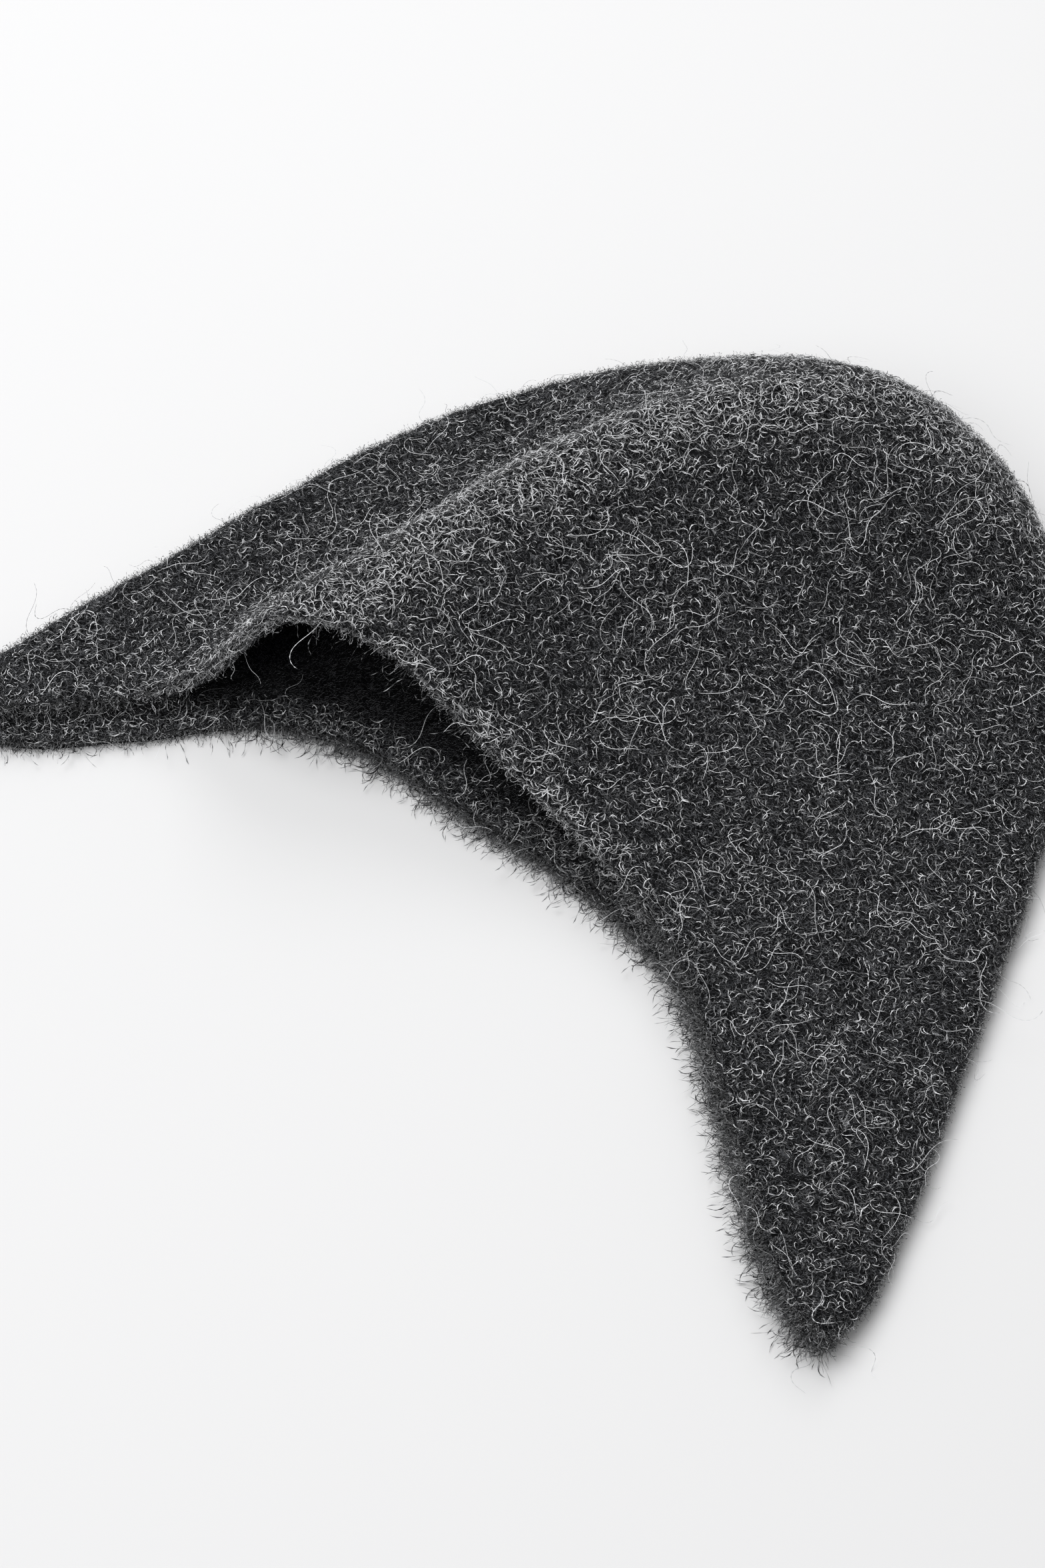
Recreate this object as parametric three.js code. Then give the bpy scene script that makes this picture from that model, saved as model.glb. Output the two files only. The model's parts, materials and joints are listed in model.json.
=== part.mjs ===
// A felted wool knit cap with two pointed ear flaps, laid flat with its mouth a little open.
// Millimetres, +Z up. The cap lies on Z = 0 with its crown towards +Y and its flap tips towards -Y.
import * as THREE from "three";

// The felt is one wall, knitted and shrunk in one piece, without a seam.
const WALL = 3.5;
// Heights of the middle of the wall where a layer lies flat.
const LOWER_LAYER = WALL / 2;
const UPPER_LAYER = 8.2;
// The folded felt springs open a little at the flaps' tips: by how much, and from which level y down.
const TIP_SPRING = 1.4;
const TIP_REACH = 30;
// How many facets the wall takes along and across.
const UPPER_COLUMNS = 48;
const LOWER_COLUMNS = 26;
const ROWS = 30;
// The rows lie closer together towards the tips of the flaps.
const ROW_EASE = 1.4;
// The columns lie closer together at the folds, apart from this share of even spacing.
const EVEN_SHARE = 0.08;
const RIM_STEPS = 4;
const CURVE_STEPS = 300;

// The lying outline, where the wall folds from the lower layer up to the upper one.
// A row for each level y from the crown down to the tips of the flaps: x of the left and the right
// fold, height of the fold's outermost line, and how far in from it the upper layer is rounded.
const FOLD_LINE = [
  { y: 256.5, left: 6.0, right: 6.0, height: 16.5, round: 19.0 },
  { y: 251.5, left: -27.0, right: 33.0, height: 15.6, round: 19.0 },
  { y: 237.0, left: -56.0, right: 59.5, height: 12.8, round: 18.0 },
  { y: 214.0, left: -84.5, right: 82.0, height: 9.0, round: 13.0 },
  { y: 188.0, left: -104.0, right: 99.0, height: 6.4, round: 8.5 },
  { y: 158.0, left: -119.3, right: 110.7, height: 5.7, round: 6.0 },
  { y: 119.0, left: -132.5, right: 124.0, height: 5.0, round: 4.2 },
  { y: 78.0, left: -143.5, right: 136.8, height: 5.0, round: 3.2 },
  { y: 39.0, left: -154.0, right: 149.3, height: 5.0, round: 3.2 },
  { y: 16.0, left: -157.8, right: 154.0, height: 5.3, round: 3.5 },
  { y: 3.5, left: -156.4, right: 153.6, height: 5.7, round: 3.9 },
];
// Where a layer lies hardly higher or lower than the fold, its rounding is this many times as wide as
// its rise at most, which keeps the wall from folding onto itself.
const ROUND_PER_RISE = 1.4;

// The two free edges from the left flap's tip to the right one's: y of each at a few places x.
// The upper edge is drawn back over the left flap, where the crest takes up its length.
const FREE_EDGES = [
  { x: -156.4, upper: 3.5, lower: 3.5 },
  { x: -151.2, upper: 3.3, lower: 2.6 },
  { x: -141.0, upper: 14.5, lower: 6.0 },
  { x: -112.0, upper: 42.0, lower: 30.5 },
  { x: -84.0, upper: 67.5, lower: 58.5 },
  { x: -62.0, upper: 77.8, lower: 68.2 },
  { x: -20.0, upper: 78.8, lower: 71.0 },
  { x: 32.0, upper: 74.6, lower: 71.6 },
  { x: 56.0, upper: 66.5, lower: 66.5 },
  { x: 95.0, upper: 39.0, lower: 39.0 },
  { x: 135.0, upper: 8.5, lower: 8.5 },
  { x: 148.4, upper: 2.9, lower: 2.7 },
  { x: 153.6, upper: 3.5, lower: 3.5 },
];

// The crest that stands up in the upper layer, from the mouth back to the crown: where it runs,
// how high it stands over the flat layer, how wide its left and right slopes are, and how suddenly the
// left one drops.
const CREST = [
  { y: 48.0, x: -79.0, height: 37.0, left: 15.5, right: 66.0, drop: 1.6 },
  { y: 60.0, x: -78.5, height: 37.0, left: 17.0, right: 66.0, drop: 1.9 },
  { y: 74.0, x: -77.5, height: 37.5, left: 18.5, right: 66.0, drop: 2.2 },
  { y: 95.0, x: -74.0, height: 38.0, left: 14.5, right: 67.0, drop: 2.1 },
  { y: 121.0, x: -68.5, height: 38.0, left: 12.5, right: 70.0, drop: 1.6 },
  { y: 147.0, x: -62.5, height: 37.5, left: 13.0, right: 75.0, drop: 1.5 },
  { y: 176.0, x: -51.5, height: 37.0, left: 16.0, right: 82.0, drop: 1.5 },
  { y: 197.0, x: -39.0, height: 38.0, left: 23.5, right: 90.0, drop: 1.5 },
  { y: 216.0, x: -23.0, height: 39.5, left: 35.0, right: 94.0, drop: 1.5 },
  { y: 236.0, x: -8.0, height: 35.0, left: 50.0, right: 88.0, drop: 1.5 },
  { y: 257.0, x: 6.0, height: 26.0, left: 64.0, right: 76.0, drop: 1.5 },
];
// The crest's top is rounded over this width, and its right slope eases out with this power.
const CREST_TOP = 5.0;
const RIGHT_DROP = 1.5;

const FELT_GREY = 0x4a4c4f;

const column = (rows, name) => rows.map((row) => row[name]);

// Slopes of a table's values at its knots, by the parabola through each knot and its neighbours.
function slopes(knots, values) {
  const last = knots.length - 1;
  return knots.map((knot, i) => {
    if (i === 0) return (values[1] - values[0]) / (knots[1] - knots[0]);
    if (i === last) return (values[last] - values[last - 1]) / (knots[last] - knots[last - 1]);
    const before = knot - knots[i - 1];
    const after = knots[i + 1] - knot;
    const slopeBefore = (values[i] - values[i - 1]) / before;
    const slopeAfter = (values[i + 1] - values[i]) / after;
    return (slopeBefore * after + slopeAfter * before) / (before + after);
  });
}

// A smooth function through a table, with knots that rise.
function smooth(knots, values) {
  const slope = slopes(knots, values);
  return (at) => {
    const x = THREE.MathUtils.clamp(at, knots[0], knots.at(-1));
    let i = 0;
    while (i < knots.length - 2 && x > knots[i + 1]) i += 1;
    const width = knots[i + 1] - knots[i];
    const f = (x - knots[i]) / width;
    const rise = f * f * (3 - 2 * f);
    const start = f * (1 - f) * (1 - f) * width * slope[i];
    const end = f * f * (f - 1) * width * slope[i + 1];
    return values[i] * (1 - rise) + values[i + 1] * rise + start + end;
  };
}

// A smooth function of y through one column of a table whose first column is y.
function byLevel(rows, name) {
  const rising = [...rows].sort((a, b) => a.y - b.y);
  return smooth(column(rising, "y"), column(rising, name));
}

// A curve in plan through points, by share of its length, with its fine points kept. It starts at the
// point numbered first: the points before that only steer its direction.
function curveThrough(points, first = 0) {
  const along = [0];
  for (let i = 1; i < points.length; i += 1) {
    along.push(along[i - 1] + points[i].distanceTo(points[i - 1]));
  }
  const x = smooth(along, column(points, "x"));
  const y = smooth(along, column(points, "y"));
  const fine = [];
  const length = [0];
  for (let i = 0; i <= CURVE_STEPS; i += 1) {
    const t = THREE.MathUtils.lerp(along[first], along.at(-1), i / CURVE_STEPS);
    fine.push(new THREE.Vector2(x(t), y(t)));
    if (i > 0) length.push(length[i - 1] + fine[i].distanceTo(fine[i - 1]));
  }
  const at = (share) => {
    const goal = share * length.at(-1);
    let i = 0;
    while (i < CURVE_STEPS - 1 && length[i + 1] < goal) i += 1;
    const part = (goal - length[i]) / (length[i + 1] - length[i]);
    return fine[i].clone().lerp(fine[i + 1], part);
  };
  return { at, fine };
}

// One half of the fold, from the top of the crown down to a flap's tip. The other side's first point
// comes before it, so that the two halves join without a corner.
function foldHalf(side, otherSide) {
  const points = FOLD_LINE.map((row) => new THREE.Vector2(row[side], row.y));
  const across = new THREE.Vector2(FOLD_LINE[1][otherSide], FOLD_LINE[1].y);
  return curveThrough([across, ...points], 1);
}

const leftFold = foldHalf("left", "right");
const rightFold = foldHalf("right", "left");
const leftTip = leftFold.at(1);
const rightTip = rightFold.at(1);
const wholeFold = [...leftFold.fine].reverse().concat(rightFold.fine.slice(1));
const edgePoints = (layer) => FREE_EDGES.map((row) => new THREE.Vector2(row.x, row[layer]));
const freeEdge = {
  upper: curveThrough(edgePoints("upper")),
  lower: curveThrough(edgePoints("lower")),
};
const foldHeight = byLevel(FOLD_LINE, "height");
const foldRound = byLevel(FOLD_LINE, "round");
const crestAt = {
  x: byLevel(CREST, "x"),
  height: byLevel(CREST, "height"),
  left: byLevel(CREST, "left"),
  right: byLevel(CREST, "right"),
  drop: byLevel(CREST, "drop"),
};

// A place in plan: across goes from the left fold to the right one, down from the crown to the edge.
// Near the crown its lines run straight across, and further down they bend to meet the free edge.
function planPoint(layer, across, down) {
  const bend = down ** 3;
  const chord = leftFold.at(down).lerp(rightFold.at(down), across);
  const tips = leftTip.clone().lerp(rightTip, across);
  const toEdge = freeEdge[layer].at(across).sub(tips);
  return chord.add(toEdge.multiplyScalar(bend));
}

function distanceToFold(point) {
  let nearest = Infinity;
  for (let i = 1; i < wholeFold.length; i += 1) {
    const start = wholeFold[i - 1];
    const step = wholeFold[i].clone().sub(start);
    const part = point.clone().sub(start).dot(step) / step.lengthSq();
    const foot = start.clone().addScaledVector(step, THREE.MathUtils.clamp(part, 0, 1));
    nearest = Math.min(nearest, foot.distanceTo(point));
  }
  return nearest;
}

// A quarter of an ellipse: 0 at the fold, 1 from the full width on.
function rounding(share) {
  const left = 1 - Math.min(Math.max(share, 0), 1);
  return Math.sqrt(1 - left * left);
}

// How high the middle of the upper layer lies where neither the crest nor a fold lifts it.
function upperFlat(y) {
  return UPPER_LAYER + TIP_SPRING * (1 - THREE.MathUtils.smoothstep(y, 0, TIP_REACH));
}

function crestHeight(x, y) {
  const off = x - crestAt.x(y);
  const width = off < 0 ? crestAt.left(y) : crestAt.right(y);
  const drop = off < 0 ? crestAt.drop(y) : RIGHT_DROP;
  const soft = Math.hypot(off, CREST_TOP) - CREST_TOP;
  return crestAt.height(y) * Math.exp(-((soft / width) ** drop));
}

// The middle of the wall over a place in plan.
function wallMiddle(layer, across, down) {
  const plan = planPoint(layer, across, down);
  const fold = foldHeight(plan.y);
  const upper = layer === "upper";
  const flat = upper ? upperFlat(plan.y) + crestHeight(plan.x, plan.y) : LOWER_LAYER;
  const width = Math.min(foldRound(plan.y), ROUND_PER_RISE * Math.abs(flat - fold));
  const share = rounding(distanceToFold(plan) / width);
  return new THREE.Vector3(plan.x, plan.y, THREE.MathUtils.lerp(fold, flat, share));
}

// Places across a layer, close together at the folds, where the wall is most curved.
function acrossAt(i, columns) {
  const even = i / columns;
  const close = (1 - Math.cos(Math.PI * even)) / 2;
  return THREE.MathUtils.lerp(close, even, EVEN_SHARE);
}

// Places from the crown down.
function downAt(row) {
  return 1 - (1 - row / ROWS) ** ROW_EASE;
}

// The middle of the whole wall as rings round the cap: the upper layer from left to right, then the
// lower one back. The first ring is the one point at the top of the crown.
function wallRings() {
  const rings = [];
  for (let row = 1; row <= ROWS; row += 1) {
    const ring = [];
    for (let i = 0; i <= UPPER_COLUMNS; i += 1) {
      ring.push(wallMiddle("upper", acrossAt(i, UPPER_COLUMNS), downAt(row)));
    }
    for (let i = LOWER_COLUMNS - 1; i > 0; i -= 1) {
      ring.push(wallMiddle("lower", acrossAt(i, LOWER_COLUMNS), downAt(row)));
    }
    rings.push(ring);
  }
  return { top: wallMiddle("upper", 0, 0), rings };
}

// The faces of a sheet made of a top point and rings below it, facing out of the cap.
function sheetFaces(ringCount, around, firstPoint) {
  const faces = [];
  const point = (ring, i) => firstPoint + 1 + ring * around + (i % around);
  for (let i = 0; i < around; i += 1) {
    faces.push([firstPoint, point(0, i), point(0, i + 1)]);
    for (let ring = 1; ring < ringCount; ring += 1) {
      faces.push([point(ring - 1, i), point(ring, i), point(ring, i + 1)]);
      faces.push([point(ring - 1, i), point(ring, i + 1), point(ring - 1, i + 1)]);
    }
  }
  return faces;
}

function geometryOf(points, faces) {
  const geometry = new THREE.BufferGeometry().setFromPoints(points);
  geometry.setIndex(faces.flat());
  geometry.computeVertexNormals();
  return geometry;
}

// The closed wall: an outer and an inner sheet half a wall away from its middle, and a rounded rim
// that joins them round the free edges.
function feltCap() {
  const { top, rings } = wallRings();
  const around = rings[0].length;
  const middle = [top, ...rings.flat()];
  const middleFaces = sheetFaces(ROWS, around, 0);
  const normals = geometryOf(middle, middleFaces).getAttribute("normal");
  const normal = middle.map((_, i) => new THREE.Vector3().fromBufferAttribute(normals, i));
  const offset = (side) => middle.map((p, i) => p.clone().addScaledVector(normal[i], (side * WALL) / 2));
  const points = [...offset(1), ...offset(-1)];
  const innerFaces = middleFaces.map(([a, b, c]) => [a, c, b].map((i) => i + middle.length));
  const faces = [...middleFaces, ...innerFaces];

  const rimStart = middle.length - around;
  let previous = rings[0].map((_, i) => rimStart + i);
  for (let step = 1; step <= RIM_STEPS; step += 1) {
    const turn = Math.PI / 2 - (Math.PI * step) / RIM_STEPS;
    const next = rings[0].map((_, i) => {
      if (step === RIM_STEPS) return middle.length + rimStart + i;
      const here = rimStart + i;
      const ahead = middle[rimStart + ((i + 1) % around)];
      const behind = middle[rimStart + ((i + around - 1) % around)];
      const outward = behind.clone().sub(ahead).cross(normal[here]).normalize();
      const place = middle[here].clone();
      place.addScaledVector(normal[here], (Math.sin(turn) * WALL) / 2);
      place.addScaledVector(outward, (Math.cos(turn) * WALL) / 2);
      return points.push(place) - 1;
    });
    for (let i = 0; i < around; i += 1) {
      const j = (i + 1) % around;
      faces.push([previous[i], next[i], next[j]]);
      faces.push([previous[i], next[j], previous[j]]);
    }
    previous = next;
  }

  const geometry = geometryOf(points, faces);
  geometry.computeBoundingBox();
  const centre = geometry.boundingBox.getCenter(new THREE.Vector3());
  geometry.translate(-centre.x, -centre.y, 0);
  return geometry;
}

const cap = new THREE.Group();
const felt = new THREE.MeshStandardMaterial({ color: FELT_GREY, roughness: 0.95, metalness: 0 });
const body = new THREE.Mesh(feltCap(), felt);
body.name = "felt_cap";
cap.add(body);

export default cap;
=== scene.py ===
# A felted wool knit cap with two pointed ear flaps. It lies flat with each flap folded in half, the
# upper layer lifted in a crest and the mouth a little open. One seamless wall of charcoal felt,
# with the curly wool fibres that stand on it. The cap's tables are in millimetres, the scene in metres.
import json
import math
from typing import NamedTuple

import bpy
import numpy as np
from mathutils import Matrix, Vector, noise

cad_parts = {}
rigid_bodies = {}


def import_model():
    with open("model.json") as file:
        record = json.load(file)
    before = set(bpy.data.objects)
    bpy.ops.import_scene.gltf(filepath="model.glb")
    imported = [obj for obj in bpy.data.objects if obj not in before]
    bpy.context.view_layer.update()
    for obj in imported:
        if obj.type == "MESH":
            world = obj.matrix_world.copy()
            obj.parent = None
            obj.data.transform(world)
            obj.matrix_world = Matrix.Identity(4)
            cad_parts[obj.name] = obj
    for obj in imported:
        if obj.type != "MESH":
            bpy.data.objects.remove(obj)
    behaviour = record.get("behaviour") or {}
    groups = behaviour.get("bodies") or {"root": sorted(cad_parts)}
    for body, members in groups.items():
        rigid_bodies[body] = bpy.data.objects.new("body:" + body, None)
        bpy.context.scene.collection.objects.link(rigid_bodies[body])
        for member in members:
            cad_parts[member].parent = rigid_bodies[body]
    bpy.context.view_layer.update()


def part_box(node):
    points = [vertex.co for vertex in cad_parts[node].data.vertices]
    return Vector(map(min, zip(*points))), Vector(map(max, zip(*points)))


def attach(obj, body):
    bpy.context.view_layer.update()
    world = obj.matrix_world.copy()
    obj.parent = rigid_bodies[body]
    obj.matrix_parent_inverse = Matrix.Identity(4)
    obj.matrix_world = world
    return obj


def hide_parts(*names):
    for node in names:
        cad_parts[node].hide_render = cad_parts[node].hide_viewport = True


MM = 0.001

# The felt's wall, and the heights of its middle where a layer lies flat.
WALL = 3.5
LOWER_LAYER = WALL / 2
UPPER_LAYER = 8.2
# The folded felt springs open a little at the flaps' tips.
TIP_SPRING = 1.4
TIP_REACH = 30.0
# How finely the wall is divided round its upper layer, its lower one, and from the crown down.
UPPER_COLUMNS = 176
LOWER_COLUMNS = 92
ROWS = 132
ROW_EASE = 1.25
EVEN_SHARE = 0.45
RIM_STEPS = 6
CURVE_STEPS = 300
PLACES_AT_ONCE = 2000
# Where a layer lies hardly higher or lower than the fold, its rounding is this many times its rise.
ROUND_PER_RISE = 1.4
# The crest's top is rounded over this width, and its right slope eases out with this power.
CREST_TOP = 5.0
RIGHT_DROP = 1.5

# The lying outline, from the crown down to the flap tips:
# y, x of the left fold, x of the right fold, height of the fold, width of its rounding.
FOLD_LINE = np.array([
    (256.5, 6.0, 6.0, 16.5, 19.0),
    (251.5, -27.0, 33.0, 15.6, 19.0),
    (237.0, -56.0, 59.5, 12.8, 18.0),
    (214.0, -84.5, 82.0, 9.0, 13.0),
    (188.0, -104.0, 99.0, 6.4, 8.5),
    (158.0, -119.3, 110.7, 5.7, 6.0),
    (119.0, -132.5, 124.0, 5.0, 4.2),
    (78.0, -143.5, 136.8, 5.0, 3.2),
    (39.0, -154.0, 149.3, 5.0, 3.2),
    (16.0, -157.8, 154.0, 5.3, 3.5),
    (3.5, -156.4, 153.6, 5.7, 3.9),
])
# The free edges from the left flap's tip to the right one's: x, y of the upper edge, y of the lower.
FREE_EDGES = np.array([
    (-156.4, 3.5, 3.5),
    (-151.2, 3.3, 2.6),
    (-141.0, 14.5, 6.0),
    (-112.0, 42.0, 30.5),
    (-84.0, 67.5, 58.5),
    (-62.0, 77.8, 68.2),
    (-20.0, 78.8, 71.0),
    (32.0, 74.6, 71.6),
    (56.0, 66.5, 66.5),
    (95.0, 39.0, 39.0),
    (135.0, 8.5, 8.5),
    (148.4, 2.9, 2.7),
    (153.6, 3.5, 3.5),
])
# The crest of the upper layer: y, x, height over the flat layer, widths of its left and right slopes,
# and how suddenly the left slope drops.
CREST = np.array([
    (48.0, -79.0, 37.0, 15.5, 66.0, 1.6),
    (60.0, -78.5, 37.0, 17.0, 66.0, 1.9),
    (74.0, -77.5, 37.5, 18.5, 66.0, 2.2),
    (95.0, -74.0, 38.0, 14.5, 67.0, 2.1),
    (121.0, -68.5, 38.0, 12.5, 70.0, 1.6),
    (147.0, -62.5, 37.5, 13.0, 75.0, 1.5),
    (176.0, -51.5, 37.0, 16.0, 82.0, 1.5),
    (197.0, -39.0, 38.0, 23.5, 90.0, 1.5),
    (216.0, -23.0, 39.5, 35.0, 94.0, 1.5),
    (236.0, -8.0, 35.0, 50.0, 88.0, 1.5),
    (257.0, 6.0, 26.0, 64.0, 76.0, 1.5),
])

# The felt isn't quite even: soft lumps of this size and height, and smaller pills on them.
LUMP_SIZE = 17.0
LUMP_HEIGHT = 0.55
PILL_SIZE = 4.2
PILL_HEIGHT = 0.7
PILL_START = Vector((7.0, 3.0, 1.0))

# Where the fibres grow. Bands along the wall: the share of the way from the crown down to the free edge
# at which each starts, and the share over which it comes in.
LIP = (0.975, 0.02)
MOUTH_INSIDE = (0.72, 0.2)
LOWER_STRIP = (0.86, 0.06)
UPPER_BAND = (0.86, 0.1)
# Bands across the cap: the x or y at which each starts, and the way over which it comes in. A way below
# 0 goes to the left.
MOUTH_FROM_LEFT = (-125.0, 20.0)
MOUTH_FROM_RIGHT = (45.0, -20.0)
HAZE_FROM_LEFT = (-105.0, 50.0)
CROWN_BAND = (222.0, 22.0)
# The crest's band reaches this far to its left and right. Its left foot is this far off and this wide.
CREST_REACH = (9.0, 14.0)
CREST_FOOT = (-30.0, 14.0)
# How far from the fold the underside's curls and the fold's nap reach.
FOLD_REACH = 5.0
NAP_REACH = 3.0
# How thickly the curls stand, next to 1 on the upper layer: under the cap near its fold and elsewhere,
# inside the upper layer, and on the strip of the lower layer that the mouth shows. The last is what the
# crest's left foot carries more. The felt's light lines fade with the fuzz, so the inner faces, bare of
# fuzz away from the edge, are painted with shade deep in the mouth.
FUZZ_BY_FOLD = 0.8
FUZZ_UNDER = 0.07
FUZZ_INSIDE = 0.12
FUZZ_STRIP = 1.5
FUZZ_FOOT = 0.35
# How much less nap and haze the upper layer's edge carries over the mouth, then the least share of haze
# at the left, its share on the upper layer, the share of rim curls away from the mouth, and the share of
# shaggy curls by the mouth.
CRISP_EDGE = 0.85
HAZE_AT_LEFT = 0.08
HAZE_ON_UPPER = 0.5
RIM_CURLS_ELSEWHERE = 0.3
SHAGGY_BY_MOUTH = 0.65

# Fibres end this high over the table, and a hair's root is this deep in the felt.
LOWEST_FIBRE = 0.05
ROOT_DEPTH = 0.2
# A curl wavers by this angle and this height from step to step, and bends back with this chance.
CURL_WAVER = 0.14
CURL_ROUGHNESS = 0.06
CURL_BENDS_BACK = 0.3

# Where the eye stands: the point it looks at, its distance, and its direction from there.
AIM = Vector((-0.01478, -0.04093, 0.0))
EYE_DISTANCE = 1.0566
EYE_AZIMUTH = 39.0
EYE_ELEVATION = 57.0
LENS = 85.71
SENSOR = 36.0
SKY_STRENGTH = 0.34
# The lamps: name, place, size and power. Each faces the middle of the table.
LAMPS = [
    ("top_light", (-0.65, -0.05, 1.82), 1.5, 23.5),
    ("back_light", (-0.7, 1.2, 1.3), 0.9, 7.0),
    ("front_light", (-0.2, -1.3, 1.4), 1.0, 6.0),
]
TABLE_REACH = 6.0


# Shape of the wall

def slopes(knots, values):
    """Slopes at a table's knots, by the parabola through each knot and its neighbours."""
    return np.gradient(values, knots)


def smooth(knots, values, at):
    """A smooth function through a table whose knots rise, read at many places."""
    slope = slopes(knots, values)
    x = np.clip(at, knots[0], knots[-1])
    i = np.clip(np.searchsorted(knots, x, side="right") - 1, 0, len(knots) - 2)
    width = knots[i + 1] - knots[i]
    f = (x - knots[i]) / width
    rise = f * f * (3 - 2 * f)
    start = f * (1 - f) ** 2 * width * slope[i]
    end = f * f * (f - 1) * width * slope[i + 1]
    return values[i] * (1 - rise) + values[i + 1] * rise + start + end


def by_level(table, column, y):
    """A column of a table whose first column is y, read at the levels y."""
    rising = table[np.argsort(table[:, 0])]
    return smooth(rising[:, 0], rising[:, column], y)


class Curve:
    """A curve in plan through points, read by share of its length."""

    def __init__(self, points, first=0):
        steps = np.linalg.norm(np.diff(points, axis=0), axis=1)
        along = np.concatenate([[0.0], np.cumsum(steps)])
        t = np.linspace(along[first], along[-1], CURVE_STEPS + 1)
        self.fine = np.stack([smooth(along, points[:, 0], t), smooth(along, points[:, 1], t)], -1)
        lengths = np.linalg.norm(np.diff(self.fine, axis=0), axis=1)
        self.share = np.concatenate([[0.0], np.cumsum(lengths)]) / lengths.sum()

    def at(self, share):
        x = np.interp(share, self.share, self.fine[:, 0])
        y = np.interp(share, self.share, self.fine[:, 1])
        return np.stack([x, y], -1)


def fold_half(side, other_side):
    """One half of the fold, from the top of the crown down to a flap's tip."""
    points = FOLD_LINE[:, [side, 0]]
    across = np.array([[FOLD_LINE[1, other_side], FOLD_LINE[1, 0]]])
    return Curve(np.concatenate([across, points]), 1)


LEFT_FOLD = fold_half(1, 2)
RIGHT_FOLD = fold_half(2, 1)
WHOLE_FOLD = np.concatenate([LEFT_FOLD.fine[::-1], RIGHT_FOLD.fine[1:]])
FREE_EDGE = {
    "upper": Curve(FREE_EDGES[:, [0, 1]]),
    "lower": Curve(FREE_EDGES[:, [0, 2]]),
}


def plan_point(layer, across, down):
    """Places in plan, from the left fold to the right one and from the crown to the edge."""
    left = LEFT_FOLD.at(down)
    right = RIGHT_FOLD.at(down)
    chord = left + (right - left) * across[..., None]
    tips = LEFT_FOLD.at(1.0) + (RIGHT_FOLD.at(1.0) - LEFT_FOLD.at(1.0)) * across[..., None]
    to_edge = FREE_EDGE[layer].at(across) - tips
    return chord + to_edge * (down ** 3)[..., None]


def distance_to_fold(points):
    """How far each place in plan is from the fold."""
    start = WHOLE_FOLD[:-1]
    step = WHOLE_FOLD[1:] - start
    length = (step ** 2).sum(-1)
    nearest = np.empty(len(points))
    for low in range(0, len(points), PLACES_AT_ONCE):
        these = slice(low, low + PLACES_AT_ONCE)
        part = points[these, None, :] - start
        share = np.clip((part * step).sum(-1) / length, 0, 1)
        gap = part - step * share[..., None]
        nearest[these] = np.sqrt((gap ** 2).sum(-1)).min(1)
    return nearest


def rounding(share):
    """A quarter of an ellipse: 0 at the fold, 1 from the full width on."""
    left = 1 - np.clip(share, 0, 1)
    return np.sqrt(1 - left * left)


def upper_flat(y):
    """Height of the upper layer's middle where neither the crest nor a fold lifts it."""
    f = np.clip(y / TIP_REACH, 0, 1)
    return UPPER_LAYER + TIP_SPRING * (1 - f * f * (3 - 2 * f))


def crest_height(x, y):
    off = x - by_level(CREST, 1, y)
    width = np.where(off < 0, by_level(CREST, 3, y), by_level(CREST, 4, y))
    drop = np.where(off < 0, by_level(CREST, 5, y), RIGHT_DROP)
    soft = np.hypot(off, CREST_TOP) - CREST_TOP
    return by_level(CREST, 2, y) * np.exp(-((soft / width) ** drop))


def wall_middle(layer, across, down):
    """The middle of the wall over a place in plan."""
    plan = plan_point(layer, across, down)
    x, y = plan[..., 0].ravel(), plan[..., 1].ravel()
    fold = by_level(FOLD_LINE, 3, y)
    if layer == "upper":
        flat = upper_flat(y) + crest_height(x, y)
    else:
        flat = np.full_like(y, LOWER_LAYER)
    width = np.minimum(by_level(FOLD_LINE, 4, y), ROUND_PER_RISE * np.abs(flat - fold))
    share = rounding(distance_to_fold(np.stack([x, y], -1)) / np.maximum(width, 1e-6))
    z = fold + (flat - fold) * share
    return np.stack([x, y, z], -1).reshape(*plan.shape[:-1], 3)


def across_at(i, columns):
    even = i / columns
    close = (1 - np.cos(np.pi * even)) / 2
    return close + (even - close) * EVEN_SHARE


def wall_rings():
    """The middle of the wall: one ring of places for each row, and the point at the crown's top."""
    down = 1 - (1 - np.arange(1, ROWS + 1) / ROWS) ** ROW_EASE
    upper = across_at(np.arange(0, UPPER_COLUMNS + 1), UPPER_COLUMNS)
    lower = across_at(np.arange(LOWER_COLUMNS - 1, 0, -1), LOWER_COLUMNS)
    rings = np.concatenate([
        wall_middle("upper", *np.meshgrid(upper, down)),
        wall_middle("lower", *np.meshgrid(lower, down)),
    ], axis=1)
    top = wall_middle("upper", np.array([0.0]), np.array([0.0]))[0]
    return top, rings


def sheet_faces(rings, around):
    """Triangles of a sheet made of a top point and rings below it, facing out of the cap."""
    i = np.arange(around)
    j = (i + 1) % around
    cap = np.stack([np.zeros_like(i), 1 + i, 1 + j], -1)
    ring = np.arange(1, rings)[:, None] * around
    here, ahead = 1 + ring + i, 1 + ring + j
    above, above_ahead = here - around, ahead - around
    one = np.stack([above, here, ahead], -1).reshape(-1, 3)
    two = np.stack([above, ahead, above_ahead], -1).reshape(-1, 3)
    return np.concatenate([cap, one, two])


def corner_normals(points, faces):
    a, b, c = (points[faces[:, k]] for k in range(3))
    face = np.cross(b - a, c - a)
    total = np.zeros_like(points)
    for k in range(3):
        np.add.at(total, faces[:, k], face)
    return total / np.maximum(np.linalg.norm(total, axis=1, keepdims=True), 1e-12)


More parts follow.
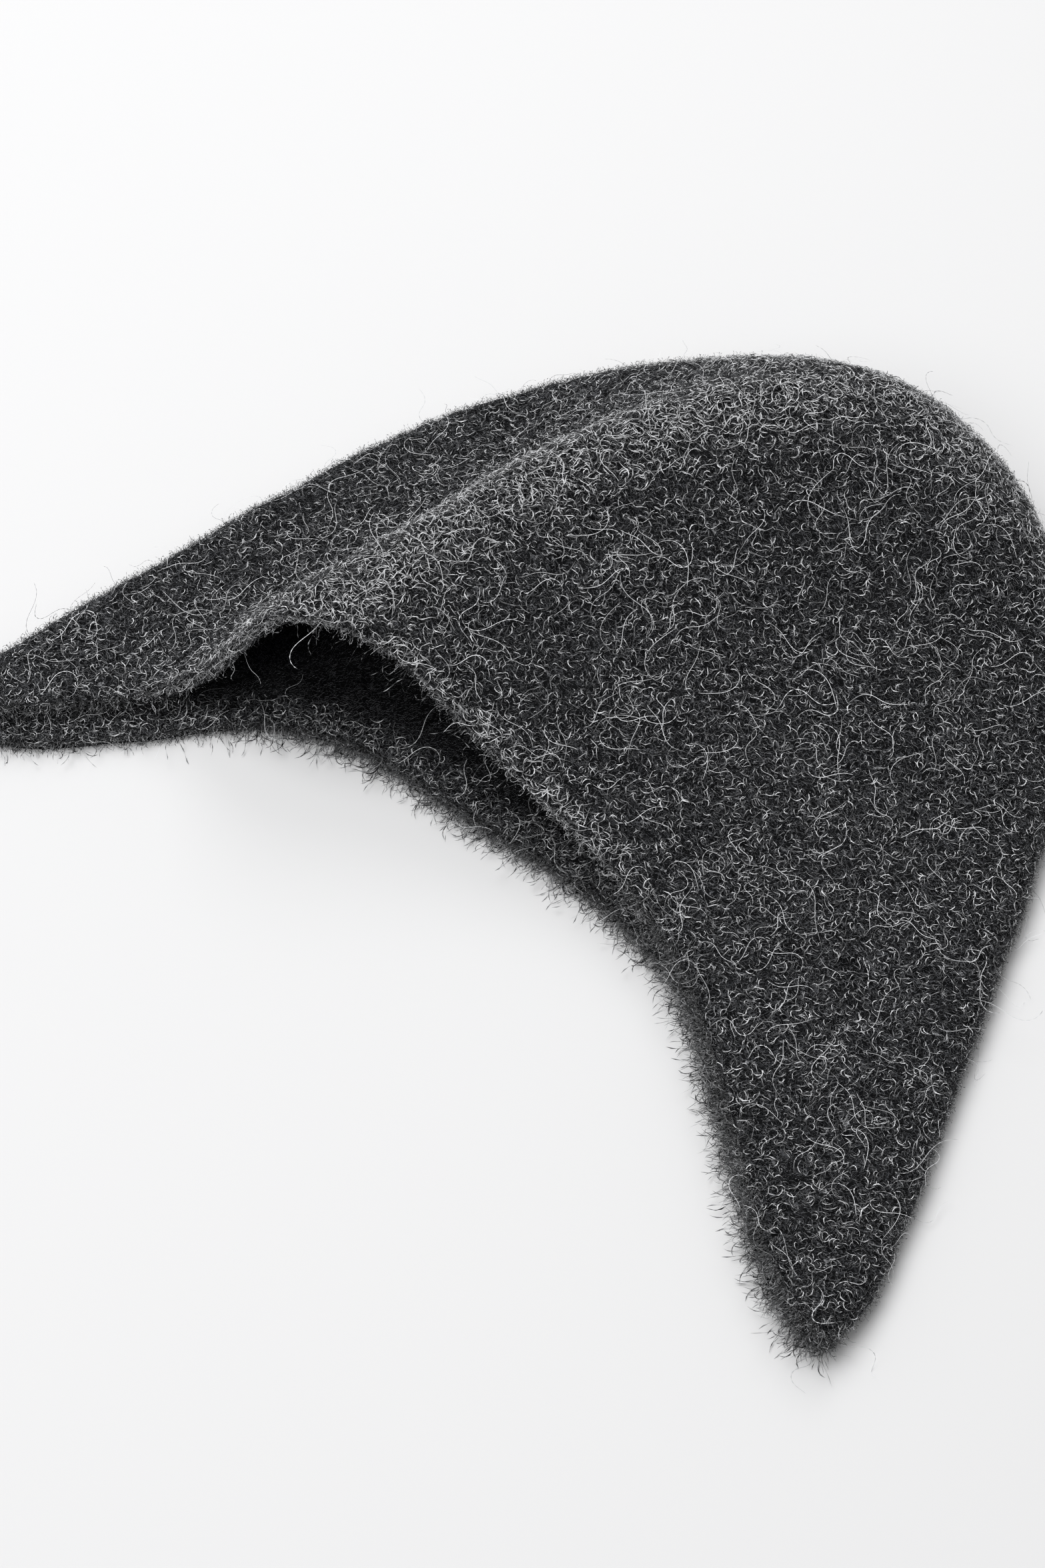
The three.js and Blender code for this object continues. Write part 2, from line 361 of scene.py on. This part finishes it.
def lumps(points):
    """How far the felt's outer face stands proud of the even wall at each place."""
    rise = np.empty(len(points))
    for n, p in enumerate(points):
        soft = noise.noise(Vector(p / LUMP_SIZE))
        pill = noise.noise(Vector(p / PILL_SIZE) + PILL_START)
        rise[n] = soft * LUMP_HEIGHT + pill * PILL_HEIGHT
    return rise


def new_piece(name, points, faces, material):
    mesh = bpy.data.meshes.new(name)
    mesh.from_pydata(points.tolist(), [], faces.tolist())
    mesh.polygons.foreach_set("use_smooth", np.ones(len(mesh.polygons), bool))
    mesh.materials.append(material)
    piece = bpy.data.objects.new(name, mesh)
    bpy.context.collection.objects.link(piece)
    return piece


def rim_of(middle, outer, normals, around):
    """The rounded rim round the free edges, from the outer face over to the inner one: its rows of
    places, and its triangles."""
    count = len(middle)
    base = count - around
    ring = np.arange(around)
    ahead = (ring + 1) % around
    edge = middle[base:]
    tangent = np.roll(edge, 1, axis=0) - np.roll(edge, -1, axis=0)
    outward = np.cross(tangent, normals[base:])
    outward /= np.linalg.norm(outward, axis=1, keepdims=True)
    half_out = np.linalg.norm(outer[base:] - edge, axis=1, keepdims=True)
    rows = []
    triangles = []
    previous = base + ring
    for step in range(1, RIM_STEPS + 1):
        turn = math.pi / 2 - math.pi * step / RIM_STEPS
        if step == RIM_STEPS:
            following = count + base + ring
        else:
            half = half_out if turn > 0 else WALL / 2
            rise = normals[base:] * math.sin(turn) * half
            reach = outward * math.cos(turn) * WALL / 2
            rows.append(edge + rise + reach)
            following = 2 * count + (step - 1) * around + ring
        triangles.append(np.stack([previous, following, following[ahead]], -1))
        triangles.append(np.stack([previous, following[ahead], previous[ahead]], -1))
        previous = following
    return rows, triangles


def come_in(value, start, way):
    """0 up to a start, then growing evenly to 1 over a way."""
    return np.clip((value - start) / way, 0, 1)


def fuzz_fields(middle, around, size):
    """How thickly each sort of fibre grows at each place of the wall: on its outer face, its inner one
    and its rim."""
    count = len(middle)
    base = count - around
    turned = slice(count, 2 * count)
    rim = slice(2 * count, None)
    x, y = middle[:, 0], middle[:, 1]
    row = np.concatenate([[0], np.repeat(np.arange(1, ROWS + 1), around)]) / ROWS
    on_upper = np.concatenate([[1.0], np.tile(np.arange(around) <= UPPER_COLUMNS, ROWS)]).astype(float)
    from_fold = distance_to_fold(middle[:, :2])

    def on_rim(values):
        return np.tile(values[base:], RIM_STEPS - 1)

    # The upper layer's edge over the open mouth is crisp, and the rest of the rim is fuzzy.
    over_mouth = on_upper * come_in(x, *MOUTH_FROM_LEFT) * come_in(x, *MOUTH_FROM_RIGHT)
    soft_rim = 1 - CRISP_EDGE * over_mouth
    names = ("fuzz", "fold_nap", "rim_nap", "rim_haze", "rim_curl", "shaggy")
    fields = {name: np.zeros(size) for name in names}
    by_fold = np.where(from_fold < FOLD_REACH, FUZZ_BY_FOLD, FUZZ_UNDER)
    beside = x - by_level(CREST, 1, y)
    foot, foot_width = CREST_FOOT
    by_foot = np.exp(-(((beside - foot) / foot_width) ** 2))
    # Inside the cap the fuzz fades out away from the free edge. The felt's light lines follow it, so
    # this also paints shade into the colour deep in the mouth.
    inside = FUZZ_INSIDE * come_in(row, *MOUTH_INSIDE)
    fields["fuzz"][:count] = np.where(on_upper > 0, 1.0, by_fold) * (1 + FUZZ_FOOT * on_upper * by_foot)
    fields["fuzz"][turned] = np.where(on_upper > 0, inside, FUZZ_STRIP * come_in(row, *LOWER_STRIP))
    fields["fuzz"][rim] = 1.0
    fields["fold_nap"][:count] = np.exp(-((from_fold / NAP_REACH) ** 2))
    fields["rim_nap"][:count] = come_in(row, *LIP) * soft_rim
    fields["rim_nap"][turned] = come_in(row, *LIP) * soft_rim
    fields["rim_nap"][rim] = on_rim(soft_rim)
    # The longest haze stands out of the lower edge under the mouth and down the right flap.
    from_left = np.maximum(come_in(x, *HAZE_FROM_LEFT), HAZE_AT_LEFT)
    haze = soft_rim * from_left * np.where(on_upper > 0, HAZE_ON_UPPER, 1.0)
    fields["rim_haze"][rim] = on_rim(haze)
    fields["rim_curl"][rim] = on_rim(RIM_CURLS_ELSEWHERE + (1 - RIM_CURLS_ELSEWHERE) * over_mouth)
    # The wool stands thickest along the crest, over the crown and along the edge of the open mouth.
    on_crest = np.exp(-((beside / np.where(beside < 0, *CREST_REACH)) ** 2))
    by_mouth = SHAGGY_BY_MOUTH * come_in(row, *UPPER_BAND) * over_mouth
    shaggy = np.maximum(np.maximum(on_crest, come_in(y, *CROWN_BAND)), by_mouth)
    fields["shaggy"][:count] = on_upper * shaggy
    return fields


def felt_wall(material, low, high):
    """The closed wall, seated over the middle of the solid model's box, with its fields of fuzz."""
    top, rings = wall_rings()
    around = rings.shape[1]
    middle = np.concatenate([top[None], rings.reshape(-1, 3)])
    faces = sheet_faces(ROWS, around)
    normals = corner_normals(middle, faces)
    outer = middle + normals * (WALL / 2 + lumps(middle)[:, None])
    # What faces down stays on the table.
    outer[:, 2] = np.where(normals[:, 2] < -0.5, np.maximum(outer[:, 2], 0.0), outer[:, 2])
    inner = middle - normals * (WALL / 2)
    rim_rows, rim_triangles = rim_of(middle, outer, normals, around)
    points = np.concatenate([outer, inner, *rim_rows])
    triangles = np.concatenate([faces, faces[:, [0, 2, 1]] + len(middle), *rim_triangles])

    own = (points.min(0) + points.max(0)) / 2
    seat = (np.array(low) + np.array(high)) / 2
    points *= MM
    points[:, :2] += seat[:2] - own[:2] * MM
    piece = new_piece("felt_shell", points, triangles, material)
    for name, values in fuzz_fields(middle, around, len(points)).items():
        field = piece.data.attributes.new(name, "FLOAT", "POINT")
        field.data.foreach_set("value", values)
    return piece


# Wool fibres

def ribbon(name, path, bright, width, collection):
    """A flat fibre along a path, narrower at its ends, as a mesh in a collection. Its points stand to
    the left and right of the path by turns, and keep the fibre's painted shade there: a darkening
    painted into its colour where it would lie in shadow."""
    along = np.gradient(path, axis=0)
    along /= np.linalg.norm(along, axis=1, keepdims=True)
    side = np.cross(along, (0.0, 0.0, 1.0))
    side /= np.maximum(np.linalg.norm(side, axis=1, keepdims=True), 1e-9)
    share = np.linspace(0, 1, len(path))
    half = width / 2 * (0.4 + 0.6 * np.sin(np.pi * share) ** 0.5)
    turn = np.where(np.arange(len(path)) % 2 == 0, 1.0, -1.0)
    points = path + side * (half * turn)[:, None]
    faces = [(i, i + 1, i + 2) if i % 2 == 0 else (i + 1, i, i + 2) for i in range(len(path) - 2)]
    mesh = bpy.data.meshes.new(name)
    mesh.from_pydata((points * MM).tolist(), [], faces)
    mesh.polygons.foreach_set("use_smooth", np.ones(len(mesh.polygons), bool))
    mesh.attributes.new("bright", "FLOAT", "POINT").data.foreach_set("value", bright)
    fibre = bpy.data.objects.new(name, mesh)
    collection.objects.link(fibre)


def walk(heading, length):
    """The plan of a fibre that goes on by even steps in the given headings."""
    step = length / (len(heading) - 1)
    x = np.concatenate([[0], np.cumsum(np.cos(heading[:-1]) * step)])
    y = np.concatenate([[0], np.cumsum(np.sin(heading[:-1]) * step)])
    return x, y


class Curl(NamedTuple):
    """A curl in the mat: a line that keeps bending, more at one end, and dips into the felt and out.
    Lengths, radii and lift are in millimetres."""

    steps: int
    shortest: float
    longest: float
    tightest: float
    loosest: float
    lift: float

    def path(self, rng):
        """Its line, and its painted shade along it: painted darker where it dips towards the felt, as
        the mat would shade it, and lightest where it stands highest.
        """
        length = rng.uniform(self.shortest, self.longest)
        t = np.linspace(0, 1, self.steps + 1)
        bend = 1 / rng.uniform(self.tightest, self.loosest)
        other = bend * rng.uniform(0.3, 1.4)
        if rng.random() < CURL_BENDS_BACK:
            other = -other
        waver = rng.normal(0, CURL_WAVER, self.steps + 1)
        heading = length * (bend * t + (other - bend) * t * t / 2) + waver
        x, y = walk(heading, length)
        wave = np.sin(2 * np.pi * (rng.uniform(0.5, 1.1) * t + rng.random()))
        z = self.lift * (0.3 + 0.7 * wave) + CURL_ROUGHNESS * rng.normal(0, 1, self.steps + 1)
        line = np.stack([x - x.mean(), y - y.mean(), z], -1)
        return line, np.clip(z / self.lift, 0, 1) ** 1.3


class Hair(NamedTuple):
    """A loose hair: it starts in the felt and leaves it with a gentle rise, bending to and fro."""

    steps: int
    shortest: float
    longest: float
    loosest: float
    lowest: float
    highest: float
    sway: float

    def path(self, rng):
        """Its line, and its painted shade along it: its root is painted dark, as the shade deep in the
        felt would make it.
        """
        length = rng.uniform(self.shortest, self.longest)
        rise = rng.uniform(self.lowest, self.highest)
        t = np.linspace(0, 1, self.steps + 1)
        bend = rng.choice([-1, 1]) / self.loosest
        swing = rng.uniform(0.3, 1.1)
        phase = rng.uniform(0, 2 * math.pi)
        waves = self.sway * swing * np.sin(rng.uniform(4, 9) * t + phase)
        x, y = walk(length * bend * t * rng.uniform(0.4, 1.2) + waves, length)
        ripple = 0.03 * length * np.sin(rng.uniform(3, 8) * t + phase) * t
        z = rise * np.sin(np.pi * 0.62 * t) + ripple
        return np.stack([x, y, z - ROOT_DEPTH], -1), np.clip(2.2 * t, 0, 1)


class Growth(NamedTuple):
    """One sort of fibre on the felt: its shape, how many kinds there are, its width in millimetres, the
    field where it grows, its wool and its seed. Then how it is spread: fibres per square metre, its
    smallest and largest scale, the angle that it stands up by, how much that varies, and how far out of
    the felt it sits, in metres."""

    name: str
    shape: NamedTuple
    kinds: int
    width: float
    field: str
    wool: str
    seed: int
    density: float
    smallest: float
    largest: float
    lean: float
    tip: float
    out: float


TIGHT_CURL = Curl(9, 2.2, 4.6, 0.5, 1.6, 0.45)
LOOSE_CURL = Curl(10, 2.6, 5.8, 0.6, 2.6, 0.6)
SHORT_HAIR = Hair(6, 1.2, 3.0, 1.8, 0.3, 0.9, 1.0)
RIM_HAIR = Hair(7, 2.0, 5.0, 3.0, 0.2, 0.8, 1.0)
HAZE_HAIR = Hair(9, 5.0, 12.0, 8.0, 0.3, 1.2, 0.6)
RIM_LOOP = Hair(16, 4.0, 9.5, 1.8, 0.4, 1.4, 1.0)
LONG_HAIR = Hair(26, 9.0, 22.0, 9.0, 0.8, 1.8, 1.0)
FIBRES = [
    Growth("dark_curls", TIGHT_CURL, 12, 0.18, "fuzz", "dark_wool", 101,
           160000.0, 0.75, 1.3, 0.0, 0.28, 0.0001),
    Growth("grey_curls", TIGHT_CURL, 14, 0.13, "fuzz", "grey_wool", 201,
           300000.0, 0.75, 1.3, 0.0, 0.28, 0.0002),
    Growth("light_curls", LOOSE_CURL, 14, 0.155, "fuzz", "light_wool", 301,
           275000.0, 0.7, 1.3, 0.0, 0.28, 0.0003),
    Growth("shaggy_curls", LOOSE_CURL, 14, 0.165, "shaggy", "light_wool", 351,
           540000.0, 0.75, 1.3, 0.0, 0.35, 0.0006),
    Growth("fold_nap", SHORT_HAIR, 12, 0.095, "fold_nap", "nap_wool", 401,
           1900000.0, 0.6, 1.2, -1.2, 0.5, 0.0002),
    Growth("rim_nap", RIM_HAIR, 14, 0.11, "rim_nap", "nap_wool", 451,
           2800000.0, 0.5, 1.2, -0.9, 0.6, 0.0),
    Growth("rim_haze", HAZE_HAIR, 14, 0.11, "rim_haze", "nap_wool", 461,
           5200000.0, 0.45, 1.2, -1.0, 0.5, 0.0),
    Growth("rim_curls", RIM_LOOP, 14, 0.14, "rim_curl", "light_wool", 471,
           1500000.0, 0.35, 0.9, -0.9, 0.7, 0.0),
    Growth("long_hairs", LONG_HAIR, 12, 0.12, "fuzz", "light_wool", 501,
           16000.0, 0.6, 1.3, -0.05, 0.12, 0.0),
]


# The sizes of a growth that the tree which spreads its fibres takes as inputs.
SIZES = ("density", "smallest", "largest", "lean", "tip", "out")


def fibre_kinds(growth):
    """A few different fibres of one sort, kept out of the scene for spreading over the felt."""
    rng = np.random.default_rng(growth.seed)
    collection = bpy.data.collections.new(growth.name + "_kind")
    for k in range(growth.kinds):
        line, bright = growth.shape.path(rng)
        ribbon(f"{collection.name}_{k}", line, bright, growth.width, collection)
    return collection


def give(tree, socket, value):
    """A socket's value: another node's output, or a plain value."""
    if hasattr(value, "is_output"):
        tree.links.new(value, socket)
    else:
        socket.default_value = value


def arithmetic(tree, operation, *values):
    node = tree.nodes.new("ShaderNodeMath")
    node.operation = operation
    for socket, value in zip(node.inputs, values):
        give(tree, socket, value)
    return node.outputs[0]


def random_value(tree, kind, low, high, seed):
    """A number for each fibre, drawn between two others."""
    node = tree.nodes.new("FunctionNodeRandomValue")
    node.data_type = kind
    give(tree, node.inputs["Min"], low)
    give(tree, node.inputs["Max"], high)
    node.inputs["Seed"].default_value = seed
    return node.outputs["Value"]


def on_axis(tree, axis, value):
    node = tree.nodes.new("ShaderNodeCombineXYZ")
    give(tree, node.inputs[axis], value)
    return node.outputs["Vector"]


def rotated(tree, instances, rotation):
    node = tree.nodes.new("GeometryNodeRotateInstances")
    tree.links.new(instances, node.inputs["Instances"])
    tree.links.new(rotation, node.inputs["Rotation"])
    return node.outputs["Instances"]


def add_input(tree, name, kind):
    return tree.interface.new_socket(name, in_out="INPUT", socket_type=kind).identifier


def spreading_tree(name, field, material, seed):
    """Fibres spread over a surface: each stands on its normal, spun, tipped and scaled at random. The
    tree comes with the identifiers of its inputs, which are the fibres to spread and their sizes."""
    tree = bpy.data.node_groups.new(name, "GeometryNodeTree")
    tree.interface.new_socket("Geometry", in_out="OUTPUT", socket_type="NodeSocketGeometry")
    add_input(tree, "Geometry", "NodeSocketGeometry")
    inputs = {"fibres": add_input(tree, "fibres", "NodeSocketCollection")}
    for size in SIZES:
        inputs[size] = add_input(tree, size, "NodeSocketFloat")
    node, link = tree.nodes.new, tree.links.new
    given = node("NodeGroupInput").outputs

    share = node("GeometryNodeInputNamedAttribute")
    share.data_type = "FLOAT"
    share.inputs["Name"].default_value = field
    spread = node("GeometryNodeDistributePointsOnFaces")
    spread.distribute_method = "RANDOM"
    spread.inputs["Seed"].default_value = seed
    link(given["Geometry"], spread.inputs["Mesh"])
    density = arithmetic(tree, "MULTIPLY", share.outputs["Attribute"], given["density"])
    link(density, spread.inputs["Density"])

    each = node("GeometryNodeCollectionInfo")
    each.inputs["Separate Children"].default_value = True
    each.inputs["Reset Children"].default_value = True
    link(given["fibres"], each.inputs["Collection"])
    place = node("GeometryNodeInstanceOnPoints")
    place.inputs["Pick Instance"].default_value = True
    link(spread.outputs["Points"], place.inputs["Points"])
    link(spread.outputs["Rotation"], place.inputs["Rotation"])
    link(each.outputs["Instances"], place.inputs["Instance"])
    link(random_value(tree, "INT", 0, 1000, seed + 1), place.inputs["Instance Index"])
    scale = random_value(tree, "FLOAT", given["smallest"], given["largest"], seed + 2)
    link(scale, place.inputs["Scale"])

    spin = random_value(tree, "FLOAT", 0.0, 2 * math.pi, seed + 3)
    least_tip = arithmetic(tree, "SUBTRACT", given["lean"], given["tip"])
    most_tip = arithmetic(tree, "ADD", given["lean"], given["tip"])
    tip = random_value(tree, "FLOAT", least_tip, most_tip, seed + 4)
    turned = rotated(tree, place.outputs["Instances"], on_axis(tree, "Z", spin))
    turned = rotated(tree, turned, on_axis(tree, "Y", tip))
    moved = node("GeometryNodeTranslateInstances")
    moved.inputs["Local Space"].default_value = True
    link(turned, moved.inputs["Instances"])
    link(on_axis(tree, "Z", given["out"]), moved.inputs["Translation"])

    keep = node("GeometryNodeStoreNamedAttribute")
    keep.data_type = "FLOAT"
    keep.domain = "INSTANCE"
    keep.inputs["Name"].default_value = "tone"
    link(moved.outputs["Instances"], keep.inputs["Geometry"])
    link(random_value(tree, "FLOAT", 0.0, 1.0, seed + 5), keep.inputs["Value"])
    realize = node("GeometryNodeRealizeInstances")
    link(keep.outputs["Geometry"], realize.inputs["Geometry"])
    finish = node("GeometryNodeSetMaterial")
    finish.inputs["Material"].default_value = material
    link(realize.outputs["Geometry"], finish.inputs["Geometry"])
    link(finish.outputs["Geometry"], node("NodeGroupOutput").inputs["Geometry"])
    return tree, inputs


def fibre_piece(growth, felt, material):
    """One piece of many fibres standing on the felt, as a plain mesh."""
    kinds = fibre_kinds(growth)
    carrier = bpy.data.objects.new(growth.name + "_carrier", felt.data.copy())
    bpy.context.collection.objects.link(carrier)
    tree, inputs = spreading_tree(growth.name, growth.field, material, growth.seed)
    spread = carrier.modifiers.new("spread", "NODES")
    spread.node_group = tree
    spread[inputs["fibres"]] = kinds
    for size in SIZES:
        spread[inputs[size]] = getattr(growth, size)
    ready = carrier.evaluated_get(bpy.context.evaluated_depsgraph_get())
    mesh = bpy.data.meshes.new_from_object(ready)
    mesh.name = growth.name
    mesh.materials.clear()
    mesh.materials.append(material)
    # No fibre goes through the table.
    points = np.empty(len(mesh.vertices) * 3)
    mesh.vertices.foreach_get("co", points)
    points[2::3] = np.maximum(points[2::3], LOWEST_FIBRE * MM)
    mesh.vertices.foreach_set("co", points)
    bpy.data.objects.remove(carrier)
    for fibre in list(kinds.objects):
        bpy.data.objects.remove(fibre)
    bpy.data.collections.remove(kinds)
    piece = bpy.data.objects.new(growth.name, mesh)
    bpy.context.collection.objects.link(piece)
    return piece


# Finishes

# Each wool: its darkest and lightest shade, and its gloss.
WOOLS = {
    "dark_wool": ((0.004, 0.004, 0.005), (0.022, 0.023, 0.025), 0.08),
    "grey_wool": ((0.015, 0.0155, 0.017), (0.26, 0.265, 0.277), 0.2),
    "nap_wool": ((0.012, 0.0122, 0.013), (0.40, 0.405, 0.415), 0.2),
    "light_wool": ((0.42, 0.424, 0.432), (0.93, 0.94, 0.96), 0.4),
}
# The felt's curled lines, from the deepest up: how fine they are, how wide, how bent, where their
# pattern starts, their colour, and their share of the felt's relief.
FELT_LINES = [
    (560.0, 0.050, 0.6, (0.0, 0.0, 0.0), (0.030, 0.031, 0.034, 1.0), 0.5),
    (430.0, 0.030, 0.9, (3.1, 1.7, 2.3), (0.085, 0.088, 0.095, 1.0), 1.0),
    (340.0, 0.018, 1.2, (5.9, 4.3, 8.1), (0.34, 0.345, 0.36, 1.0), 1.0),
]
# What is left of the lines where the felt carries no fuzz, which paints shade deep in the mouth, and of
# a fibre's colour where its painted shade is darkest, deep in the felt.
LINES_LEFT = 0.06
SHADE_LEFT = 0.15


def new_material(name):
    material = bpy.data.materials.new(name)
    material.use_nodes = True
    nodes = material.node_tree.nodes
    nodes.clear()
    shader = nodes.new("ShaderNodeBsdfPrincipled")
    output = nodes.new("ShaderNodeOutputMaterial")
    material.node_tree.links.new(shader.outputs["BSDF"], output.inputs["Surface"])
    return material, shader


def ramp(tree, source, stops):
    node = tree.nodes.new("ShaderNodeValToRGB")
    elements = node.color_ramp.elements
    while len(elements) < len(stops):
        elements.new(0.5)
    for element, (place, colour) in zip(elements, stops):
        element.position = place
        element.color = (*colour, 1.0)
    tree.links.new(source, node.inputs["Fac"])
    return node.outputs["Color"]


def noise_field(tree, vector, scale, detail, distortion=0.0):
    node = tree.nodes.new("ShaderNodeTexNoise")
    node.inputs["Scale"].default_value = scale
    node.inputs["Detail"].default_value = detail
    node.inputs["Distortion"].default_value = distortion
    tree.links.new(vector, node.inputs["Vector"])
    return node.outputs["Fac"]


def mix_colour(tree, factor, below, above, mode="MIX"):
    node = tree.nodes.new("ShaderNodeMix")
    node.data_type = "RGBA"
    node.blend_type = mode
    give(tree, node.inputs["Factor"], factor)
    give(tree, node.inputs["A"], below)
    give(tree, node.inputs["B"], above)
    return node.outputs["Result"]


def curled_lines(tree, place, scale, width, offset, distortion):
    """Thin curled lines, 1 along a fibre and 0 beside it: where a noise crosses its middle value."""
    shift = tree.nodes.new("ShaderNodeVectorMath")
    shift.operation = "ADD"
    shift.inputs[1].default_value = offset
    tree.links.new(place, shift.inputs[0])
    field = noise_field(tree, shift.outputs["Vector"], scale, 1.0, distortion)
    gap = arithmetic(tree, "ABSOLUTE", arithmetic(tree, "SUBTRACT", field, 0.5))
    edge = tree.nodes.new("ShaderNodeMapRange")
    edge.interpolation_type = "SMOOTHSTEP"
    edge.inputs["From Min"].default_value = 0.0
    edge.inputs["From Max"].default_value = width
    edge.inputs["To Min"].default_value = 1.0
    edge.inputs["To Max"].default_value = 0.0
    tree.links.new(gap, edge.inputs["Value"])
    return edge.outputs["Result"]


def attribute(tree, name):
    node = tree.nodes.new("ShaderNodeAttribute")
    node.attribute_name = name
    return node.outputs["Fac"]


def charcoal_felt():
    """Heather felt: a dark matted ground under three depths of finer and lighter curled fibres."""
    material, shader = new_material("charcoal_felt")
    tree = material.node_tree
    place = tree.nodes.new("ShaderNodeTexCoord").outputs["Object"]
    colour = ramp(tree, noise_field(tree, place, 95.0, 2.0), [
        (0.30, (0.003, 0.0031, 0.0036)),
        (0.70, (0.009, 0.0092, 0.010)),
    ])
    # Deep in the mouth and under the cap the felt carries hardly any light fibre, and its light lines
    # fade with the fuzz: in the mouth this is painted shade, darkening the colour of the hollow.
    lines_shown_and_shade = arithmetic(tree, "MULTIPLY_ADD", attribute(tree, "fuzz"), 1 - LINES_LEFT, LINES_LEFT)
    relief = 0.0
    for scale, width, bend, start, shade, height in FELT_LINES:
        lines = curled_lines(tree, place, scale, width, start, bend)
        colour = mix_colour(tree, arithmetic(tree, "MULTIPLY", lines, lines_shown_and_shade), colour, shade)
        relief = arithmetic(tree, "ADD", relief, arithmetic(tree, "MULTIPLY", lines, height))
    tree.links.new(colour, shader.inputs["Base Color"])
    bump = tree.nodes.new("ShaderNodeBump")
    bump.inputs["Strength"].default_value = 0.9
    bump.inputs["Distance"].default_value = 0.0006
    tree.links.new(relief, bump.inputs["Height"])
    tree.links.new(bump.outputs["Normal"], shader.inputs["Normal"])
    shader.inputs["Roughness"].default_value = 0.93
    shader.inputs["Specular IOR Level"].default_value = 0.06
    shader.inputs["Sheen Weight"].default_value = 0.25
    shader.inputs["Sheen Roughness"].default_value = 0.25
    shader.inputs["Sheen Tint"].default_value = (0.85, 0.87, 0.92, 1.0)
    return material


def wool(name, darkest, lightest, gloss):
    """Wool fibre whose tone varies at random from one fibre to the next, with painted shade that makes
    it darker deep in the felt.
    """
    material, shader = new_material(name)
    tree = material.node_tree
    colour = ramp(tree, attribute(tree, "tone"), [(0.0, darkest), (1.0, lightest)])
    # Painted shade: each fibre's colour is darkened where it lies low in the felt.
    bright = arithmetic(tree, "MULTIPLY_ADD", attribute(tree, "bright"), 1 - SHADE_LEFT, SHADE_LEFT)
    colour = mix_colour(tree, 1.0, colour, bright, "MULTIPLY")
    tree.links.new(colour, shader.inputs["Base Color"])
    shader.inputs["Roughness"].default_value = 0.65
    shader.inputs["Specular IOR Level"].default_value = gloss
    return material


# The table, the light and the eye

def table_top():
    mesh = bpy.data.meshes.new("table_top")
    corners = [(x * TABLE_REACH, y * TABLE_REACH, 0) for x, y in ((-1, -1), (1, -1), (1, 1), (-1, 1))]
    mesh.from_pydata(corners, [], [(0, 1, 2, 3)])
    top = bpy.data.objects.new("table_top", mesh)
    bpy.context.collection.objects.link(top)
    material, shader = new_material("pale_table")
    shader.inputs["Base Color"].default_value = (0.83, 0.83, 0.835, 1.0)
    shader.inputs["Roughness"].default_value = 0.9
    shader.inputs["Specular IOR Level"].default_value = 0.1
    mesh.materials.append(material)


def soft_light(name, place, size, power):
    light = bpy.data.lights.new(name, "AREA")
    light.shape = "DISK"
    light.size = size
    light.energy = power
    lamp = bpy.data.objects.new(name, light)
    lamp.location = place
    lamp.rotation_euler = Vector(place).to_track_quat("Z", "Y").to_euler()
    bpy.context.collection.objects.link(lamp)


def studio():
    world = bpy.data.worlds.new("studio")
    bpy.context.scene.world = world
    world.use_nodes = True
    sky = world.node_tree.nodes["Background"]
    sky.inputs["Color"].default_value = (1.0, 1.0, 1.0, 1.0)
    sky.inputs["Strength"].default_value = SKY_STRENGTH
    for lamp in LAMPS:
        soft_light(*lamp)


def eye():
    azimuth, elevation = math.radians(EYE_AZIMUTH), math.radians(EYE_ELEVATION)
    back = Vector((
        math.sin(azimuth) * math.cos(elevation),
        -math.cos(azimuth) * math.cos(elevation),
        math.sin(elevation),
    ))
    camera = bpy.data.cameras.new("eye")
    camera.sensor_width = SENSOR
    camera.lens = LENS
    stand = bpy.data.objects.new("eye", camera)
    stand.location = AIM + back * EYE_DISTANCE
    stand.rotation_euler = back.to_track_quat("Z", "Y").to_euler()
    bpy.context.collection.objects.link(stand)
    bpy.context.scene.camera = stand


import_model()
bpy.context.scene.view_settings.view_transform = "Standard"
eye()
table_top()
studio()

felt = felt_wall(charcoal_felt(), *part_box("felt_cap"))
wools = {name: wool(name, *shades) for name, shades in WOOLS.items()}
pieces = [fibre_piece(growth, felt, wools[growth.wool]) for growth in FIBRES]
for piece in (felt, *pieces):
    piece.data.update()
    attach(piece, "root")
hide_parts("felt_cap")
